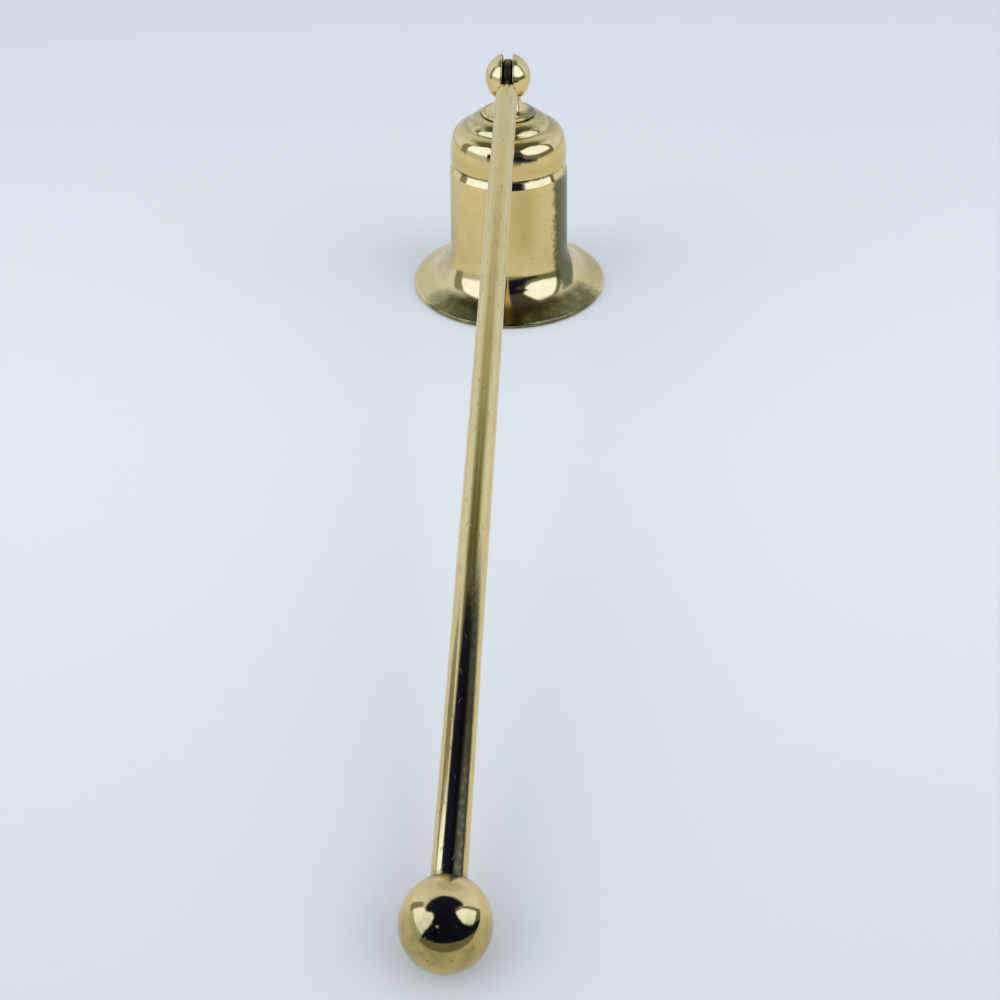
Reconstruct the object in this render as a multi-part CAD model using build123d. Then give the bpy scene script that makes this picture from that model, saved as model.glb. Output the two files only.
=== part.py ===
from build123d import *
import os
from math import asin, cos, degrees, radians, sin, sqrt, tan

# A candle snuffer standing on its bell, its hinged handle lowered until the knob rests on the table.
# Millimetres. Z is the bell's axis and points up, the table is Z = 0, and the handle lies towards -Y.

# Driving sizes
mouth_radius = 23.25
bell_height = 41.4
hinge_rise = 7.9
handle_length = 177.4

# Bell: the lip, from the rim up to the throat, where its slope would meet the side without the curve
rim_round = 0.62
rim_flat_width = 1.0
lip_slope_angle = 18.0
lip_centre_inset = 0.1
throat_radius = 14.15

# Bell: the side, the bead under the turned groove, and the groove
bead_radius = 13.45
bead_round = 0.35
bead_to_groove = 1.6
groove_radius = 12.6
groove_round = 0.15
groove_to_shoulder = 0.5
shoulder_radius = 13.2

# Bell: the shoulder dome, the small dome on it, and the flat crown
shoulder_dome_height = 7.85
shoulder_rise = 5.8
shoulder_reach = 3.3
step_radius = 9.1
step_slope_angle = 10.0
step_round = 0.4
crown_dome_height = 2.25
crown_dome_rise = 0.9
crown_dome_reach = 2.05
crown_radius = 5.4
crown_thickness = 1.8

# Bell: the hollow inside
wall_thickness = 1.8
inner_crown_radius = 5.4
inner_shoulder_lift = 0.7
inner_shoulder_rise = 4.6
inner_crown_reach = 2.2

# Finial yoke: the skirt, the neck, the slotted ball and the threaded stud under it
skirt_radius = 5.9
skirt_rim_height = 0.75
skirt_rim_round_share = 0.46
skirt_shoulder_radius = 5.1
skirt_sag = 0.35
neck_radius = 2.65
ball_radius = 4.95
slot_width = 2.15
slot_floor_clearance = 0.3
slot_mouth_round = 0.4
slot_mouth_bulge_share = 0.33
stud_radius = 1.5
stud_clearance = 0.1
stud_end_length = 0.9
stud_end_chamfer = 0.3

# Washer and nut that hold the yoke from inside the crown
washer_radius = 3.1
washer_thickness = 0.5
nut_across_flats = 5.5
nut_height = 2.4
nut_corner_cut = 0.35
thread_clearance = 0.02

# Hinge: the pin through the ball, and the handle's tongue on it
pin_radius = 0.8
hinge_clearance = 0.05
tongue_side_clearance = 0.1
tongue_radius = 3.7
tongue_edge_round = 0.6
tongue_neck_width = 3.4
tongue_neck_round = 0.8

# Handle rod and knob
rod_radius = 2.38
rod_end_chamfer = 0.4
rod_shoulder_gap = 0.15
rod_shoulder_length = 4.4
rod_shoulder_tip_radius = 1.95
knob_radius = 5.95
knob_bore_depth = 6.0
knob_bore_clearance = 0.02
knob_mouth_chamfer = 0.25

# Cuts run past the faces that they open by this much
overrun = 1.0

# Worked out from the sizes above: the lip's curve is centred just inside the rim's edge
lip_curve_radius = mouth_radius - throat_radius - lip_centre_inset
step_height = bell_height - crown_dome_height
shoulder_height = step_height - shoulder_dome_height
groove_height = shoulder_height - groove_to_shoulder
bead_height = groove_height - bead_to_groove
inner_shoulder_height = shoulder_height + inner_shoulder_lift
hinge_height = bell_height + hinge_rise
slot_depth = tongue_radius + slot_floor_clearance
tongue_thickness = slot_width - 2 * tongue_side_clearance
crown_hole_radius = stud_radius + stud_clearance
crown_underside = bell_height - crown_thickness
ball_bottom = hinge_height - sqrt(ball_radius**2 - neck_radius**2)
handle_drop_angle = degrees(asin((hinge_height - knob_radius) / handle_length))
rod_shoulder_start = ball_radius + rod_shoulder_gap
rod_end = handle_length - knob_radius + knob_bore_depth


def step(start, angle, length):
    """The point at a length from start, along a direction given in degrees from the radius."""
    return (start[0] + length * cos(radians(angle)), start[1] + length * sin(radians(angle)))


def sharp_corner(sketch, corner):
    """The sketch's vertex that lies at a corner."""
    return sketch.vertices().sort_by_distance((corner[0], corner[1], 0))[0]


def turned(edges, rounds=()):
    """A solid turned about Z from an outline in radius and height, with some corners rounded."""
    outline = make_face(edges)
    for corner, radius in rounds:
        outline = fillet(sharp_corner(outline, corner), radius)
    return revolve(Plane.XZ * outline, Axis.Z)


def up_the_lip(foot, radius):
    """The point that the lip's slope reaches at a radius, from its foot at the rim."""
    return (radius, foot[1] + (foot[0] - radius) * tan(radians(lip_slope_angle)))


def bell_outside():
    """Edges of the bell's outer surface, from the flat of the rim up to the flat crown."""
    rim_centre = (mouth_radius - rim_round, rim_round)
    lip_edge = step(rim_centre, 90 - lip_slope_angle, rim_round)
    throat = up_the_lip(lip_edge, throat_radius)
    bead = (bead_radius, bead_height)
    groove = (groove_radius, groove_height)
    shoulder = (shoulder_radius, shoulder_height)
    ledge = (step_radius, step_height)
    crown = (crown_radius, bell_height)
    rim = CenterArc(rim_centre, rim_round, -90, 180 - lip_slope_angle)
    lip = Line(lip_edge, throat)
    side = Line(throat, bead)
    dome = Bezier(
        shoulder,
        step(shoulder, 90, shoulder_rise),
        step(ledge, -step_slope_angle, shoulder_reach),
        ledge,
    )
    crown_dome = Bezier(ledge, step(ledge, 90, crown_dome_rise), step(crown, 0, crown_dome_reach), crown)
    edges = [rim, lip, side, Line(bead, groove), Line(groove, shoulder), dome, crown_dome]
    rounds = [
        (throat, lip_curve_radius),
        (bead, bead_round),
        (groove, groove_round),
        (ledge, step_round),
    ]
    return edges, rounds


def bell_inside(rim_inner_radius):
    """Edges of the bell's hollow, from the flat crown down to the flat of the rim."""
    crown = (inner_crown_radius, crown_underside)
    shoulder = (bead_radius - wall_thickness, inner_shoulder_height)
    rim = (rim_inner_radius, 0)
    throat = up_the_lip(rim, throat_radius - wall_thickness)
    dome = Bezier(crown, step(crown, 0, inner_crown_reach), step(shoulder, 90, inner_shoulder_rise), shoulder)
    edges = [dome, Line(shoulder, throat), Line(throat, rim)]
    return edges, [(throat, lip_curve_radius + wall_thickness)]


def make_bell():
    """The bell: one turned shell, open below, with a hole through its crown for the yoke's stud."""
    rim_outer_radius = mouth_radius - rim_round
    rim_inner_radius = rim_outer_radius - rim_flat_width
    outside, outside_rounds = bell_outside()
    inside, inside_rounds = bell_inside(rim_inner_radius)
    hole_top = (crown_hole_radius, bell_height)
    hole_bottom = (crown_hole_radius, crown_underside)
    edges = outside + [
        Line((crown_radius, bell_height), hole_top),
        Line(hole_top, hole_bottom),
        Line(hole_bottom, (inner_crown_radius, crown_underside)),
    ]
    edges += inside
    edges.append(Line((rim_inner_radius, 0), (rim_outer_radius, 0)))
    return turned(edges, outside_rounds + inside_rounds)


def yoke_blank(stud_bottom):
    """The yoke as turned, before its slot and pin hole: ball, neck, skirt and stud."""
    rim_top = bell_height + skirt_rim_height
    rim_foot = (skirt_radius, bell_height)
    rim_edge = (skirt_radius, rim_top)
    skirt_top = (skirt_shoulder_radius, rim_top)
    neck = (neck_radius, ball_bottom)
    middle = ((skirt_shoulder_radius + neck_radius) / 2 - skirt_sag, (rim_top + ball_bottom) / 2 - skirt_sag)
    ball_top = (0, hinge_height + ball_radius)
    ball_side = (ball_radius, hinge_height)
    tip = (stud_radius - stud_end_chamfer, stud_bottom)
    edges = [
        Line((0, stud_bottom), tip),
        Line(tip, (stud_radius, stud_bottom + stud_end_chamfer)),
        Line((stud_radius, stud_bottom + stud_end_chamfer), (stud_radius, bell_height)),
        Line((stud_radius, bell_height), rim_foot),
        Line(rim_foot, rim_edge),
        Line(rim_edge, skirt_top),
        ThreePointArc(skirt_top, middle, neck),
        ThreePointArc(neck, ball_side, ball_top),
        Line(ball_top, (0, stud_bottom)),
    ]
    skirt_round = skirt_rim_round_share * skirt_rim_height
    return turned(edges, [(rim_edge, skirt_round), (rim_foot, skirt_round / 2)])


def slot_cutter():
    """What the slot takes from the ball: a disc about the pin, flared at its mouth, with a flat floor."""
    top = ball_radius + overrun
    wall = slot_width / 2
    flare = wall + slot_mouth_round
    corner = (wall, sqrt(ball_radius**2 - wall**2))
    inner = (wall, corner[1] - slot_mouth_round)
    outer = (flare, sqrt(ball_radius**2 - flare**2))
    middle = tuple(
        (1 - slot_mouth_bulge_share) * (start + end) / 2 + slot_mouth_bulge_share * sharp
        for start, end, sharp in zip(inner, outer, corner)
    )
    half = revolve(make_face([
        Line((0, 0), (wall, 0)),
        Line((wall, 0), inner),
        ThreePointArc(inner, middle, outer),
        Line(outer, (flare, top)),
        Line((flare, top), (0, top)),
        Line((0, top), (0, 0)),
    ]), Axis.X)
    disc = half + mirror(half, Plane.YZ)
    height = slot_depth + top
    above_floor = Pos(0, 0, height / 2 - slot_depth) * Box(2 * top, 2 * top, height)
    return Pos(0, 0, hinge_height) * (disc & above_floor)


def make_yoke(stud_bottom):
    """The finial yoke: a slotted ball on a skirted neck, with a stud that passes through the crown."""
    pin_hole = Cylinder(pin_radius, 2 * (ball_radius + overrun), rotation=(0, 90, 0))
    return yoke_blank(stud_bottom) - slot_cutter() - Pos(0, 0, hinge_height) * pin_hole


def make_washer():
    """The flat washer under the crown, inside the bell."""
    ring = Cylinder(washer_radius, washer_thickness) - Cylinder(crown_hole_radius, washer_thickness)
    return Pos(0, 0, crown_underside - washer_thickness / 2) * ring


def make_nut(nut_top):
    """The hexagon nut on the stud, its outer corners turned off at the free end."""
    corner_radius = nut_across_flats / sqrt(3)
    hexagon = extrude(RegularPolygon(nut_across_flats / 2, 6, major_radius=False), nut_height)
    blank_edges = [
        Line((0, 0), (corner_radius - nut_corner_cut, 0)),
        Line((corner_radius - nut_corner_cut, 0), (corner_radius, nut_corner_cut)),
        Line((corner_radius, nut_corner_cut), (corner_radius, nut_height)),
        Line((corner_radius, nut_height), (0, nut_height)),
        Line((0, nut_height), (0, 0)),
    ]
    bore = Cylinder(stud_radius + thread_clearance, 2 * nut_height + overrun)
    return Pos(0, 0, nut_top - nut_height) * ((hexagon & turned(blank_edges)) - bore)


def make_pin():
    """The hinge pin, riveted in the ball and dressed flush with its surface."""
    rod = Cylinder(pin_radius, 2 * ball_radius, rotation=(0, 90, 0))
    return Pos(0, 0, hinge_height) * (rod & Sphere(ball_radius))


def make_rod():
    """The handle rod: its tongue on the hinge axis at the origin, its length along Z."""
    shoulder_end = rod_shoulder_start + rod_shoulder_length
    tip = (rod_shoulder_tip_radius, rod_shoulder_start)
    full = (rod_radius, shoulder_end)
    swell = Bezier(tip, (rod_radius, rod_shoulder_start), full)
    end_corner = (rod_radius, rod_end - rod_end_chamfer)
    end_face = (rod_radius - rod_end_chamfer, rod_end)
    bar = turned([
        Line((0, rod_shoulder_start), tip),
        swell,
        Line(full, end_corner),
        Line(end_corner, end_face),
        Line(end_face, (0, rod_end)),
        Line((0, rod_end), (0, rod_shoulder_start)),
    ])
    eye = Cylinder(tongue_radius, tongue_thickness, rotation=(0, 90, 0))
    eye = fillet(eye.edges().filter_by(GeomType.CIRCLE), tongue_edge_round)
    neck_length = rod_shoulder_start + rod_shoulder_length / 2
    neck = Pos(0, 0, neck_length / 2) * Box(tongue_thickness, tongue_neck_width, neck_length)
    neck = fillet(neck.edges().filter_by(Axis.Z), tongue_neck_round)
    pin_hole = Cylinder(pin_radius + hinge_clearance, tongue_thickness + overrun, rotation=(0, 90, 0))
    return (bar + eye + neck) - pin_hole


def make_knob():
    """The ball knob on the rod's far end, drilled part way to take the rod."""
    bore_bottom = rod_end
    bore_mouth = handle_length - sqrt(knob_radius**2 - rod_radius**2)
    bore_radius = rod_radius + knob_bore_clearance
    bore_length = bore_bottom - handle_length + knob_radius + overrun
    bore = Pos(0, 0, bore_bottom - bore_length / 2) * Cylinder(bore_radius, bore_length)
    countersink = Pos(0, 0, bore_mouth) * Cone(
        bore_radius + knob_mouth_chamfer, bore_radius, 2 * knob_mouth_chamfer
    )
    return Pos(0, 0, handle_length) * Sphere(knob_radius) - bore - countersink


stud_bottom = crown_underside - washer_thickness - nut_height - stud_end_length
handle_place = Location((0, 0, hinge_height), (90 + handle_drop_angle, 0, 0))
nodes = {
    "bell": make_bell(),
    "finial_yoke": make_yoke(stud_bottom),
    "yoke_washer": make_washer(),
    "yoke_nut": make_nut(crown_underside - washer_thickness),
    "hinge_pin": make_pin(),
    "handle_rod": handle_place * make_rod(),
    "handle_knob": handle_place * make_knob(),
}

os.makedirs("parts", exist_ok=True)
for name, shape in nodes.items():
    shape.label = name
    export_step(shape, f"parts/{name}.step")
print(f"handle drop angle {handle_drop_angle:.3f} degrees")
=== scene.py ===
import math
import bpy
from mathutils import Matrix, Vector

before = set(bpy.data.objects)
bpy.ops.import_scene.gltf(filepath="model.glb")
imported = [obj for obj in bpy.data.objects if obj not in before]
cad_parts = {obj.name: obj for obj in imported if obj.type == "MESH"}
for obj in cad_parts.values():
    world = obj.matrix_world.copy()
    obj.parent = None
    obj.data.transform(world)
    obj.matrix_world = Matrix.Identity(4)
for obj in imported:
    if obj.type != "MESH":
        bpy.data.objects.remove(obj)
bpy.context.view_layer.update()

# Lengths are in metres and colours are linear. Angles round a piece are in radians, all others in degrees.

# The photograph's camera
camera_place = (0.01176, -0.24133, 0.1346)
camera_down = 40.462
camera_turn = -3.506
camera_roll = -0.807
camera_lens_mm = 39.6
sensor_width_mm = 36.0

# Places on the snuffer: heights above the cloth, and distances from the hinge along the handle
groove_height = 0.0308
shoulder_height = 0.0330
step_height = 0.03915
crown_height = 0.0414
slot_floor_height = 0.0451
hinge_place = (0.0, 0.0, 0.0493)
handle_drop = 14.144
tongue_end = 0.0049
knob_mouth = 0.1719
knob_centre = 0.1774

# Radii. The mean ones only set the scale of scratches.
ball_radius = 0.00495
rod_radius = 0.00238
bell_mean_radius = 0.013
finial_mean_radius = 0.005
knob_mean_radius = 0.005

# Colours of the brass, of what lies on it, and of the reflections and shade painted on it
bright_brass = (0.82, 0.622, 0.262, 1)
# The aged brass also paints dim reflections of shaded cloth.
aged_and_dimmed_brass = (0.66, 0.49, 0.165, 1)
raw_brass = (0.62, 0.47, 0.21, 1)
# The olive paints dark reflections, and the grime paints shade as well as real dirt.
olive_tarnish = (0.20, 0.185, 0.07, 1)
grime_and_shade = (0.055, 0.04, 0.02, 1)

# The cloth far from the viewer, and the cloth near them darkened with painted shade
cloth = (0.655, 0.71, 0.79, 1)
cloth_in_painted_shade = (0.55, 0.60, 0.66, 1)
floor_half_size = 3.0

# What the brass mirrors. Each wall goes from one place to another, seen from above.
walls = {
    "left": [(-0.47, 0.06), (-0.41, -0.60)],
    "right": [(0.59, 0.03), (0.59, -0.95)],
    "front": [(-0.406, -0.491), (0.113, -0.219)],
    "side": [(0.113, -0.219), (0.23, -0.139)],
    "corner": [(-0.50, 0.13), (-0.47, 0.06)],
    "edge": [(0.60, 0.12), (0.59, 0.03)],
}

# The level dark cover over the knob, seen from above, and the small round lamp under it
cover_height = 0.105
cover_outline = [
    (-0.104, -0.150), (-0.068, -0.120), (-0.020, -0.102), (0.036, -0.104), (0.090, -0.118), (0.082, -0.134),
    (0.044, -0.153), (0.043, -0.171), (0.067, -0.193), (0.113, -0.219), (0.135, -0.491), (-0.406, -0.491),
    (-0.237, -0.378), (-0.064, -0.229), (-0.043, -0.196), (-0.052, -0.180), (-0.089, -0.169),
]
lamp_place = (-0.030, -0.241, 0.102)
lamp_radius = 0.0062
lamp_corners = 16


class Graph:
    """The nodes of one material or world. Each call adds nodes and returns an output of the last."""

    def __init__(self, tree):
        self.tree = tree
        tree.nodes.clear()

    def node(self, kind, inputs=None, output=0, **settings):
        node = self.tree.nodes.new("ShaderNode" + kind)
        for name, value in settings.items():
            setattr(node, name, value)
        for name, value in (inputs or {}).items():
            self.feed(node.inputs[name], value)
        return node.outputs[output]

    def feed(self, socket, value):
        if isinstance(value, bpy.types.NodeSocket):
            self.tree.links.new(value, socket)
        else:
            socket.default_value = value

    def finish(self, kind, shader):
        """The tree's output, fed by a shader."""
        out = self.tree.nodes.new("ShaderNodeOutput" + kind)
        self.feed(out.inputs["Surface"], shader)

    def math(self, operation, *values, clamp=False):
        return self.node("Math", dict(enumerate(values)), operation=operation, use_clamp=clamp)

    def plus(self, first, second):
        return self.math("ADD", first, second)

    def minus(self, first, second):
        return self.math("SUBTRACT", first, second)

    def times(self, first, second):
        return self.math("MULTIPLY", first, second)

    def largest(self, *values):
        """The largest of several values at each point."""
        result = values[0]
        for value in values[1:]:
            result = self.math("MAXIMUM", result, value)
        return result

    def split(self, place):
        parts = self.tree.nodes.new("ShaderNodeSeparateXYZ")
        self.feed(parts.inputs[0], place)
        return parts.outputs

    def join(self, x, y, z):
        return self.node("CombineXYZ", {0: x, 1: y, 2: z})

    def stretch(self, place, factors):
        """The place with each of its coordinates multiplied."""
        return self.node("VectorMath", {0: place, 1: factors}, operation="MULTIPLY")

    def distance(self, place, point):
        return self.node("VectorMath", {0: place, 1: point}, "Value", operation="DISTANCE")

    def remap(self, value, low, high, to_low=0.0, to_high=1.0):
        """The value moved smoothly from one range to another, and held at its ends."""
        inputs = {"Value": value, "From Min": low, "From Max": high, "To Min": to_low, "To Max": to_high}
        return self.node("MapRange", inputs, interpolation_type="SMOOTHSTEP")

    def between(self, value, rise, fall):
        """One between two soft limits. Each limit says where the mask is zero and where it is one."""
        return self.times(self.remap(value, *rise), self.remap(value, *fall))

    def near(self, value, middle, reach):
        """One where the value is at its middle, falling to zero at its reach on either side."""
        away = self.math("ABSOLUTE", self.minus(value, middle))
        return self.remap(away, 0.0, reach, 1.0, 0.0)

    def blend(self, factor, first, second):
        """A colour that goes from the first to the second. A mix node's colour sockets are 6, 7 and output 2."""
        return self.node("Mix", {0: factor, 6: first, 7: second}, 2, data_type="RGBA")

    def noise(self, place, scale, detail=3.0, roughness=0.5):
        inputs = {"Vector": place, "Scale": scale, "Detail": detail, "Roughness": roughness}
        return self.node("TexNoise", inputs)

    def cells(self, place, scale, dimensions):
        """Random cells: the distance from the middle of the nearest, and its three random numbers."""
        cells = self.tree.nodes.new("ShaderNodeTexVoronoi")
        cells.voronoi_dimensions = dimensions
        self.feed(cells.inputs["Vector"], place)
        self.feed(cells.inputs["Scale"], scale)
        return cells.outputs["Distance"], self.split(cells.outputs["Color"])


def direction(azimuth, elevation):
    """A unit vector. Azimuth runs from the viewer's side, -Y, towards +X."""
    a, e = math.radians(azimuth), math.radians(elevation)
    return Vector((math.sin(a) * math.cos(e), -math.cos(a) * math.cos(e), math.sin(e)))


def make_camera():
    """A camera at the photograph's viewpoint."""
    data = bpy.data.cameras.new("camera")
    data.sensor_width = sensor_width_mm
    data.lens = camera_lens_mm
    data.clip_start = 0.005
    data.clip_end = 50.0
    camera = bpy.data.objects.new("camera", data)
    bpy.context.scene.collection.objects.link(camera)
    look = Matrix.Rotation(math.radians(-camera_turn), 4, "Z")
    look @= Matrix.Rotation(math.radians(90 - camera_down), 4, "X")
    look @= Matrix.Rotation(math.radians(camera_roll), 4, "Z")
    camera.matrix_world = Matrix.Translation(camera_place) @ look
    bpy.context.scene.camera = camera


def new_graph(name):
    """A new material and its nodes."""
    material = bpy.data.materials.new(name)
    material.use_nodes = True
    return material, Graph(material.node_tree)


def glow(name, colour):
    """A glowing material."""
    material, g = new_graph(name)
    g.finish("Material", g.node("Emission", {"Color": (*colour, 1)}))
    return material


def stage_piece(name, corners, material):
    """A flat piece of the studio, which isn't part of the object."""
    mesh = bpy.data.meshes.new(name)
    mesh.from_pydata(corners, [], [tuple(range(len(corners)))])
    piece = bpy.data.objects.new(name, mesh)
    bpy.context.scene.collection.objects.link(piece)
    mesh.materials.append(material)
    return piece


def wall_piece(name, outline, material):
    """An upright piece on the wall that its name begins with.

    Its outline gives shares of the way along the wall, and heights.
    """
    (ax, ay), (bx, by) = walls[name.split("_")[0]]
    corners = [(ax + (bx - ax) * share, ay + (by - ay) * share, height) for share, height in outline]
    return stage_piece(name, corners, material)


def make_floor():
    """The pale cloth, plain, with painted shade making it a little darker towards the viewer."""
    material, g = new_graph("floor_cloth")
    y = g.split(g.node("TexCoord", output="Object"))[1]
    colour = g.blend(g.remap(y, -0.05, -0.24), cloth, cloth_in_painted_shade)
    g.finish("Material", g.node("BsdfDiffuse", {"Color": colour}))
    s = floor_half_size
    stage_piece("floor", [(-s, -s, 0), (s, -s, 0), (s, s, 0), (-s, s, 0)], material)


def make_world():
    """The room: pale to the camera, even to matt surfaces, and lit at the back only as the brass sees it."""
    back_wall = (0.65, 0.75, 0.95, 1)
    beside_it = (0.75, 0.88, 1.21, 1)
    dull_patch = (0.48, 0.54, 0.62, 1)
    dull_patch_azimuth, dull_patch_elevation = 178, 20
    ceiling = (0.42, 0.48, 0.44, 1)
    ceiling_middle = (0.12, 0.135, 0.10, 1)
    viewer_side = (0.07, 0.08, 0.08, 1)
    ceiling_spread = 0.25
    matt_strength = 0.8

    world = bpy.data.worlds.new("room")
    bpy.context.scene.world = world
    world.use_nodes = True
    g = Graph(world.node_tree)
    toward = g.node("TexCoord", output="Generated")
    x, y, z = g.split(toward)
    sideways = g.math("ABSOLUTE", x)
    overhead = g.plus(z, g.times(sideways, ceiling_spread))
    high = g.blend(g.remap(overhead, 0.895, 0.965), ceiling, ceiling_middle)
    back = g.blend(g.remap(overhead, 0.78, 0.90), back_wall, high)
    back = g.blend(g.times(g.remap(sideways, 0.48, 0.78), g.remap(z, 0.88, 0.78)), back, beside_it)
    room = g.blend(g.remap(y, -0.25, 0.25), viewer_side, back)
    aim = tuple(direction(dull_patch_azimuth, dull_patch_elevation))
    toward_patch = g.node("VectorMath", {0: toward, 1: aim}, "Value", operation="DOT_PRODUCT")
    room = g.blend(g.remap(toward_patch, 0.90, 0.99), room, dull_patch)

    path = g.tree.nodes.new("ShaderNodeLightPath")
    for_brass = g.node("Background", {"Color": room})
    for_matt = g.node("Background", {"Color": (1, 1, 1, 1), "Strength": matt_strength})
    for_camera = g.node("Background", {"Color": cloth})
    for_objects = g.node("MixShader", {0: path.outputs["Is Diffuse Ray"], 1: for_brass, 2: for_matt})
    g.finish("World", g.node("MixShader", {0: path.outputs["Is Camera Ray"], 1: for_objects, 2: for_camera}))


def make_surroundings():
    """What only the brass sees, and two soft lights in the windows' places that only matt surfaces see.

    The brass mirrors a window on each side, a dark front, and a dark cover over the knob.
    """
    bright = glow("window_bright", (1.20, 1.49, 2.45))
    soft = glow("window_soft", (2.5, 2.45, 2.35))
    dark = glow("studio_dark", (0.006, 0.009, 0.045))
    dim = glow("studio_dim", (0.24, 0.27, 0.24))
    sill = glow("window_sill", (0.55, 0.66, 0.85))
    pale_frame = glow("window_frame", (0.26, 0.29, 0.28))
    dark_frame = glow("window_frame_dark", (0.17, 0.19, 0.17))
    lamp = glow("small_lamp", (1.15, 1.05, 2.1))

    # The edges that two pieces share, then the pieces above and below them
    left_edge = [(0.14, 0.11), (1, 0.16)]
    right_edge = [(0, 0.14), (0.34, 0.17), (0.7, 0.30), (1, 0.6)]
    front_edge = [(0, 0.1), (0.54, 0.062), (0.70, 0.045), (0.85, 0.035), (0.93, 0.026), (1, 0.019)]
    left_window = left_edge + [(1, 0.9), (0.41, 0.9), (0.29, 0.66), (0.14, 0.40)]
    right_window = right_edge + [(1, 1.2), (0.15, 1.15), (0, 0.68)]
    side_outline = [(0, 0.019), (0.3, 0.010), (1, 0.004), (1, 0.018), (0.19, 0.06), (0, 0.105)]

    lamp_x, lamp_y, lamp_z = lamp_place
    turns = [2 * math.pi * i / lamp_corners for i in range(lamp_corners)]
    disc = [(lamp_x + lamp_radius * math.cos(t), lamp_y + lamp_radius * math.sin(t), lamp_z) for t in turns]

    mirrored = [
        wall_piece("left_window", left_window, bright),
        wall_piece("right_window", right_window, bright),
        wall_piece("left_sill", [(0.14, 0), (1, 0)] + left_edge[::-1], sill),
        wall_piece("left_frame", [(0, 0), (0.14, 0), (0.14, 0.40), (0, 0.38)], pale_frame),
        wall_piece("corner_frame", [(0.3, 0), (1, 0), (1, 0.38), (0.3, 0.36)], pale_frame),
        wall_piece("right_sill", [(0, 0), (1, 0)] + right_edge[::-1], dark_frame),
        wall_piece("edge_frame", [(0, 0), (1, 0), (1, 0.8), (0, 0.7)], dark_frame),
        wall_piece("front_low", [(0, 0), (1, 0)] + front_edge[::-1], dim),
        wall_piece("front_dark", front_edge + [(1, 0.105), (0, 0.3)], dark),
        wall_piece("side_dark", side_outline, dark),
        stage_piece("dark_cover", [(x, y, cover_height) for x, y in cover_outline], dark),
        stage_piece("small_lamp", disc, lamp),
    ]
    for piece in mirrored:
        piece.visible_camera = False
        piece.visible_diffuse = False
        piece.visible_shadow = False
    for piece in [wall_piece("left_light", left_window, soft), wall_piece("right_light", right_window, soft)]:
        piece.visible_camera = False
        piece.visible_glossy = False


# The brass. Each finish starts from the place on its piece. The numbers in the calls are places on the
# piece, the scale or range of a noise, or the strength of a mask, all matched to the photograph.


def turned_place(g):
    """The place on a piece turned about the bell's axis."""
    return g.node("TexCoord", output="Object")


def handle_place(g):
    """The place on the handle, from the hinge, with Z along the rod."""
    turn = (math.radians(90 + handle_drop), 0, 0)
    inputs = {"Vector": g.node("TexCoord", output="Object"), "Location": hinge_place, "Rotation": turn}
    return g.node("Mapping", inputs, vector_type="TEXTURE")


def unrolled(g, place, radius):
    """The place laid flat: distance round the piece, distance along it."""
    x, y, z = g.split(place)
    return g.join(g.times(g.math("ARCTAN2", x, y), radius), z, 0.0)


def angle_from_front(g, x, y):
    """The angle round the bell's axis, from the viewer's side towards +X."""
    return g.math("ARCTAN2", x, g.times(y, -1.0))


def tool_lines(g, place, across, along):
    """Fine lines from turning or drawing: a noise with its own scale across the axis and along it."""
    return g.noise(g.stretch(place, (across, across, along)), 1.0, detail=4.0, roughness=0.6)


def streaks(g, flat, angle, width, length, share):
    """A mask of short straight scratches on a flat place. The share says how many places have one."""
    cell_scale = 0.16
    core, edge = 0.05, 0.11
    turned = g.node("Mapping", {"Vector": flat, "Rotation": (0, 0, math.radians(angle))})
    from_middle, random = g.cells(g.stretch(turned, (1 / width, 1 / length, 0.0)), cell_scale, "2D")
    thin = g.remap(from_middle, core, edge, 1.0, 0.0)
    chosen = g.math("LESS_THAN", random[0], share)
    return g.times(thin, chosen)


def specks(g, place, size, share):
    """A mask of small round pits of uneven size. The share says how many places have one."""
    cell_scale = 0.22 / size
    smallest, largest = 0.05, 0.13
    core, edge = 0.6, 1.1
    from_middle, random = g.cells(place, cell_scale, "3D")
    radius = g.remap(random[1], 0.0, 1.0, smallest, largest)
    inside = g.remap(g.math("DIVIDE", from_middle, radius), core, edge, 1.0, 0.0)
    chosen = g.math("LESS_THAN", random[0], share)
    return g.times(inside, chosen)


def spot(g, place, centre, reach):
    """One at a point of the surface, falling to zero at its reach."""
    core = 0.3 * reach
    return g.remap(g.distance(place, centre), core, reach, 1.0, 0.0)


def common_wear(g, place, lines, clean_roughness):
    """What every polished piece has: tarnish in clouds, a slow waviness, and the lines of its making."""
    most_tarnish = 0.55
    patch_roughness, line_roughness = 0.05, 0.03
    wave_height, line_height = 2.2e-6, 4.0e-8
    clouds = g.noise(place, 170.0, detail=6.0, roughness=0.62)
    patches = g.remap(g.noise(place, 420.0, detail=4.0, roughness=0.6), 0.5, 0.8)
    waves = g.noise(place, 330.0, detail=1.0)
    rough = g.plus(clean_roughness, g.times(patches, patch_roughness))
    return {
        "tarnish_and_dim_reflection": g.remap(clouds, 0.42, 0.78, 0.0, most_tarnish),
        "roughness": g.plus(rough, g.times(lines, line_roughness)),
        "height": g.plus(g.times(waves, wave_height), g.times(lines, line_height)),
    }


def add_marks(g, finish, scratches, pits, recesses):
    """Adds dark scratches and pits to the finish, and darkens the recesses it is given: real dirt in some,
    painted shade in others.
    """
    scratch_dirt, pit_dirt = 0.8, 0.95
    dirt_roughness = 0.3
    mark_depth = 1.2e-5
    marks = g.largest(g.times(scratches, scratch_dirt), g.times(pits, pit_dirt))
    finish["dirt"] = g.largest(marks, recesses)
    rougher = g.times(finish["dirt"], dirt_roughness)
    finish["roughness"] = g.math("ADD", finish["roughness"], rougher, clamp=True)
    finish["height"] = g.minus(finish["height"], g.times(marks, mark_depth))


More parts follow.
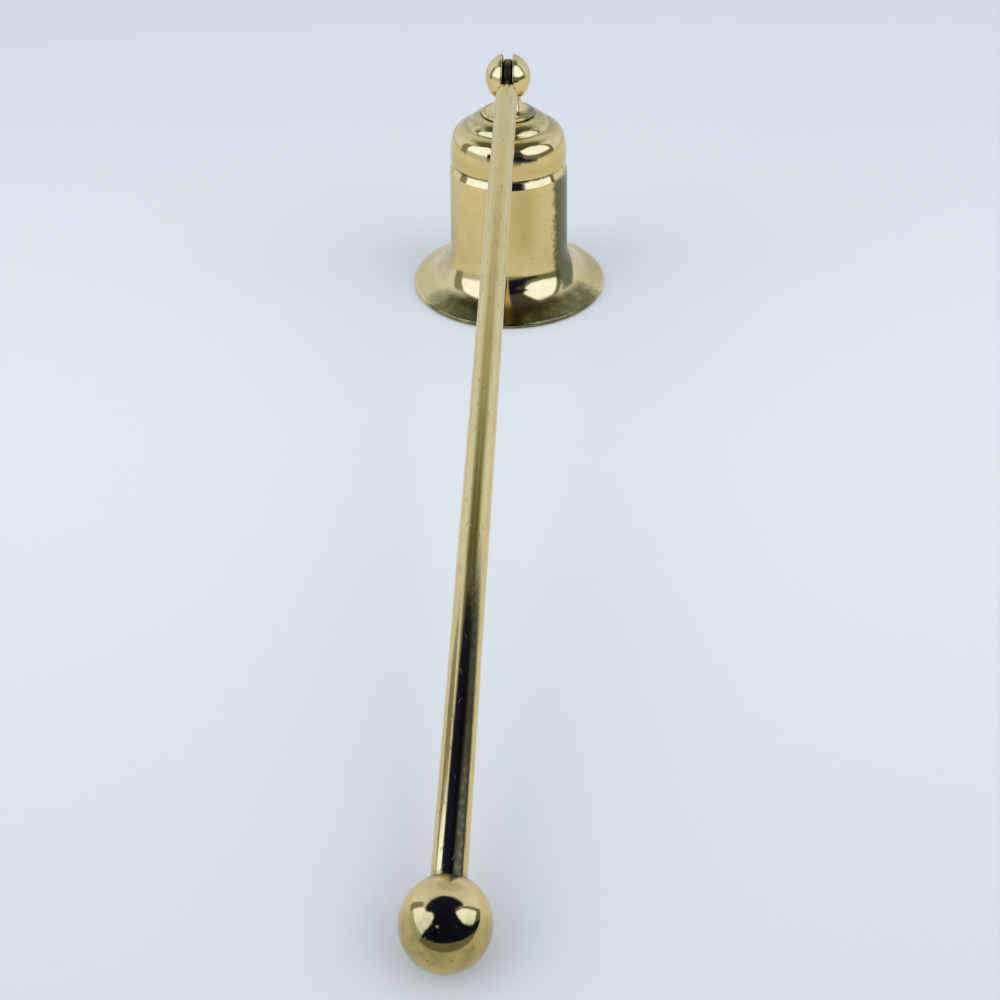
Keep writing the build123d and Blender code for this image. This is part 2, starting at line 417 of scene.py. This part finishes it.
def metal(g, colour, roughness, height, anisotropy=0.0):
    """The metal's shader. The height is the small relief of the surface.

    Anisotropy spreads the highlights across the lines that run round the axis.
    """
    quarter_turn = 0.25
    bump = g.node("Bump", {"Height": height, "Distance": 1.0, "Strength": 1.0})
    inputs = {"Base Color": colour, "Metallic": 1.0, "Roughness": roughness, "Normal": bump}
    if anisotropy:
        inputs["Anisotropic"] = anisotropy
        inputs["Anisotropic Rotation"] = quarter_turn
        inputs["Tangent"] = g.node("Tangent", direction_type="RADIAL", axis="Z")
    g.finish("Material", g.node("BsdfPrincipled", inputs))


def brass(g, finish, anisotropy=0.0):
    """Polished brass from a finish: tarnish with painted dim reflections, olive painted dark reflections, and
    dirt with painted shade are masks, laid over each other in that order.
    """
    colour = g.blend(finish["tarnish_and_dim_reflection"], bright_brass, aged_and_dimmed_brass)
    colour = g.blend(finish["olive"], colour, olive_tarnish)
    colour = g.blend(finish["dirt"], colour, grime_and_shade)
    metal(g, colour, finish["roughness"], finish["height"], anisotropy)


def bell_brass():
    """The bell: crisp on its lip and domes, softly brushed along its side, with a painted dark reflection in an
    olive band on the right.
    """
    clean_roughness, brushed_roughness, olive_roughness = 0.085, 0.10, 0.12
    lines_across, lines_along = 70.0, 6000.0

    # Where masks start and where they are full: heights, radii, and angles round the bell
    brushed_foot, brushed_top = (0.0085, 0.0125), (0.0285, 0.0270)
    yoke_edge, yoke_joint = (0.0064, 0.0059), (0.0409, 0.0413)
    side_foot, side_top = (0.0031, 0.0041), (0.0298, 0.0286)
    band_left, band_right = (0.84, 0.98), (1.85, 1.45)
    faint_start, faint_end = (-0.95, -1.2), (-2.4, -1.7)
    lip_left, lip_right, lip_inside = (-1.05, -0.75), (1.36, 1.10), (0.0168, 0.0190)

    material, g = new_graph("bell_brass")
    place = turned_place(g)
    x, y, z = g.split(place)
    radius = g.math("SQRT", g.plus(g.times(x, x), g.times(y, y)))
    around = angle_from_front(g, x, y)
    along = g.minus(z, radius)

    # Lines from the lathe, which follow the profile, and the brushed side
    lathe_place = g.join(g.times(x, lines_across), g.times(y, lines_across), g.times(along, lines_along))
    lathe = g.noise(lathe_place, 1.0, detail=4.0, roughness=0.6)
    brushed = g.between(z, brushed_foot, brushed_top)
    finish = common_wear(g, place, lathe, g.plus(clean_roughness, g.times(brushed, brushed_roughness)))

    # Scratches and pits, painted shade in the groove, at the step and round the yoke's foot, and a painted
    # contact shadow under the rim
    flat = g.join(g.times(around, bell_mean_radius), along, 0.0)
    scratches = g.largest(
        streaks(g, flat, angle=82, width=0.00005, length=0.0016, share=0.05),
        streaks(g, flat, angle=35, width=0.00005, length=0.0012, share=0.03),
    )
    groove = g.near(z, groove_height, 0.0005)
    step = g.times(g.near(z, step_height, 0.00025), 0.35)
    yoke_foot = g.times(g.remap(radius, *yoke_edge), g.remap(z, *yoke_joint))
    rim_contact_shadow = g.times(g.near(z, 0.0, 0.0003), 0.6)
    patchy = g.remap(g.noise(place, 600.0, detail=4.0), 0.35, 0.6, 0.35, 1.0)
    recesses = g.times(g.largest(groove, step, yoke_foot, rim_contact_shadow), patchy)
    add_marks(g, finish, scratches, specks(g, place, size=0.00012, share=0.03), recesses)

    # Darker brass on the front of the side, a painted dim reflection of the shaded cloth in front, and in a ring
    # round the shoulder. The side's foot rises past the right.
    grain = g.noise(place, 900.0, detail=5.0, roughness=0.7)
    ragged = g.plus(around, g.times(g.minus(grain, 0.5), 0.35))
    past_right = g.math("MAXIMUM", g.minus(around, 1.1), 0.0)
    above_lip = g.minus(z, g.times(past_right, 0.006))
    on_side = g.times(g.remap(above_lip, *side_foot), g.remap(z, *side_top))
    front = g.times(g.near(around, 0.30, 0.45), g.remap(z, 0.0105, 0.0170))
    shoulder = g.times(g.near(z, shoulder_height, 0.0030), 0.75)
    duller = g.largest(g.times(front, on_side), shoulder)
    finish["tarnish_and_dim_reflection"] = g.largest(finish["tarnish_and_dim_reflection"], duller)

    # Painted dark reflections in olive: in a band up the right, faintly up the left, round the top, and on the
    # lip
    band = g.times(g.remap(ragged, *band_left), g.remap(around, *band_right))
    faint_left = g.times(g.remap(ragged, *faint_start), g.remap(around, *faint_end, 0.0, 0.25))
    top_ring = g.times(g.near(z, 0.0404, 0.0012), g.remap(grain, 0.35, 0.6, 0.15, 0.5))
    lip_front = g.times(g.between(ragged, lip_left, lip_right), g.remap(radius, *lip_inside))
    band_foot = g.times(g.near(ragged, 1.0, 0.20), g.near(z, 0.0060, 0.0045))
    on_lip = g.largest(
        g.times(spot(g, place, centre=(-0.0164, -0.0126, 0.0018), reach=0.0036), 0.75),
        g.times(spot(g, place, centre=(0.0185, -0.0105, 0.0015), reach=0.0042), 0.60),
        g.times(lip_front, 0.9),
        g.times(band_foot, 0.75),
    )
    mottled = g.remap(g.noise(place, 300.0), 0.30, 0.66, 0.62, 1.0)
    up_side = g.times(g.largest(band, faint_left), on_side)
    finish["olive"] = g.largest(up_side, g.times(on_lip, mottled), top_ring)
    finish["roughness"] = g.plus(finish["roughness"], g.times(finish["olive"], olive_roughness))
    # A mottled darkening over the band and the front of the lip deepens these painted reflections.
    mottled_dark_reflection = g.times(g.largest(lip_front, g.times(band, on_side)), mottled)
    finish["dirt"] = g.largest(finish["dirt"], g.times(mottled_dark_reflection, 0.34))
    brass(g, finish, anisotropy=0.7)
    return material


def yoke_brass():
    """The finial yoke and its pin: crisp outside, with painted shade inside the slot and round the foot."""
    material, g = new_graph("yoke_brass")
    place = turned_place(g)
    x, y, z = g.split(place)
    lathe = tool_lines(g, place, across=150.0, along=9000.0)
    finish = common_wear(g, place, lathe, clean_roughness=0.075)
    flat = unrolled(g, place, finial_mean_radius)
    scratches = streaks(g, flat, angle=65, width=0.00004, length=0.0009, share=0.06)
    in_ball = g.remap(g.distance(place, hinge_place), ball_radius - 0.00005, ball_radius - 0.0003)
    above_floor = g.remap(z, slot_floor_height - 0.0002, slot_floor_height + 0.0002)
    # Painted shade inside the ball's slot, at the slot's floor and along the skirt's foot.
    recesses = g.largest(
        g.times(g.times(in_ball, above_floor), 0.85),
        g.times(g.near(z, slot_floor_height, 0.0004), 0.6),
        g.near(z, crown_height, 0.0004),
    )
    add_marks(g, finish, scratches, specks(g, place, size=0.0001, share=0.03), recesses)

    # A painted dark reflection in olive on the right of the skirt
    on_right = g.between(angle_from_front(g, x, y), (0.5, 0.8), (2.2, 1.8))
    on_skirt = g.remap(z, 0.0430, 0.0423)
    finish["olive"] = g.times(g.times(on_right, on_skirt), 0.75)
    brass(g, finish)
    return material


def rod_brass():
    """The rod: drawn bar with lines along it, many short scratches, dust, painted shade on the tongue, and a
    painted dark reflection down its right.
    """
    material, g = new_graph("rod_brass")
    place = handle_place(g)
    x, y, z = g.split(place)
    drawn = tool_lines(g, place, across=7000.0, along=40.0)
    finish = common_wear(g, place, drawn, clean_roughness=0.105)
    flat = unrolled(g, place, rod_radius)
    scratches = g.largest(
        streaks(g, flat, angle=20, width=0.00009, length=0.0012, share=0.16),
        streaks(g, flat, angle=-32, width=0.00008, length=0.0010, share=0.12),
        streaks(g, flat, angle=3, width=0.00005, length=0.0040, share=0.12),
    )
    pits = g.largest(specks(g, place, size=0.00018, share=0.08), specks(g, place, size=0.00010, share=0.14))

    # A speckled olive band on the right of the rod, which grows towards the knob: a painted dark reflection
    around = g.math("ARCTAN2", x, y)
    grain = g.noise(place, 1300.0, detail=5.0, roughness=0.7)
    ragged = g.plus(around, g.times(g.minus(grain, 0.5), 0.3))
    band = g.times(g.near(ragged, 0.50, 0.62), g.remap(z, 0.112, 0.150))
    finish["olive"] = g.times(g.remap(band, 0.0, 0.6), 0.85)
    speckled_dark_reflection = g.times(g.remap(band, 0.1, 0.7), g.remap(grain, 0.36, 0.58, 0.60, 0.90))

    # Painted shade on the tongue, where it sits in the ball's slot.
    tongue = g.times(g.remap(z, tongue_end + 0.00015, tongue_end - 0.00015), 0.8)
    joint = g.times(g.near(z, knob_mouth, 0.0006), 0.35)
    dust = g.remap(g.noise(place, 3800.0, detail=2.0), 0.62, 0.74, 0.0, 0.30)
    add_marks(g, finish, scratches, pits, g.largest(tongue, joint, speckled_dark_reflection, dust))
    finish["roughness"] = g.math("SUBTRACT", finish["roughness"], g.times(speckled_dark_reflection, 0.16), clamp=True)
    brass(g, finish)
    return material


def knob_brass():
    """The knob: a crisp ball, darker, cloudy and specked on its far half, where a dim reflection is painted,
    with dirt at the mouth of its bore.
    """
    material, g = new_graph("knob_brass")
    place = handle_place(g)
    z = g.split(place)[2]
    lathe = tool_lines(g, place, across=150.0, along=8000.0)
    finish = common_wear(g, place, lathe, clean_roughness=0.085)
    # The far half is darkened and clouded olive as a painted dim reflection of the shaded cloth; its specks are
    # real.
    far = g.remap(z, knob_centre - 0.002, knob_centre + 0.0025)
    finish["tarnish_and_dim_reflection"] = g.largest(finish["tarnish_and_dim_reflection"], far)
    cloudy = g.remap(g.noise(place, 420.0, detail=5.0, roughness=0.6), 0.36, 0.70, 0.18, 0.62)
    finish["olive"] = g.times(cloudy, far)
    flat = unrolled(g, place, knob_mean_radius)
    scratches = streaks(g, flat, angle=50, width=0.00005, length=0.0009, share=0.06)
    pits = g.largest(
        specks(g, place, size=0.00018, share=0.06),
        g.times(specks(g, place, size=0.00022, share=0.35), far),
        g.times(specks(g, place, size=0.00012, share=0.5), far),
    )
    at_mouth = g.remap(z, knob_mouth + 0.0014, knob_mouth + 0.0001)
    add_marks(g, finish, scratches, pits, g.times(at_mouth, 0.8))
    brass(g, finish)
    return material


def plain_brass():
    """The washer and nut: as turned, dull, with the marks of the tool and of the press."""
    mark_height = 4e-6
    material, g = new_graph("plain_brass")
    place = turned_place(g)
    clouds = g.noise(place, 900.0, detail=5.0, roughness=0.6)
    marks = g.noise(g.stretch(place, (400.0, 400.0, 9000.0)), 1.0)
    colour = g.blend(g.remap(clouds, 0.4, 0.75), raw_brass, aged_and_dimmed_brass)
    rough = g.remap(marks, 0.3, 0.7, 0.3, 0.48)
    metal(g, colour, rough, g.times(g.plus(clouds, marks), mark_height))
    return material


def dress(materials):
    """Each CAD piece gets its own finish."""
    for name, material in materials.items():
        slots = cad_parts[name].data.materials
        slots.clear()
        slots.append(material)


make_camera()
make_world()
make_floor()
make_surroundings()
polished_yoke = yoke_brass()
as_turned = plain_brass()
dress({
    "bell": bell_brass(),
    "finial_yoke": polished_yoke,
    "hinge_pin": polished_yoke,
    "yoke_washer": as_turned,
    "yoke_nut": as_turned,
    "handle_rod": rod_brass(),
    "handle_knob": knob_brass(),
})
bpy.context.scene.view_settings.view_transform = "Standard"
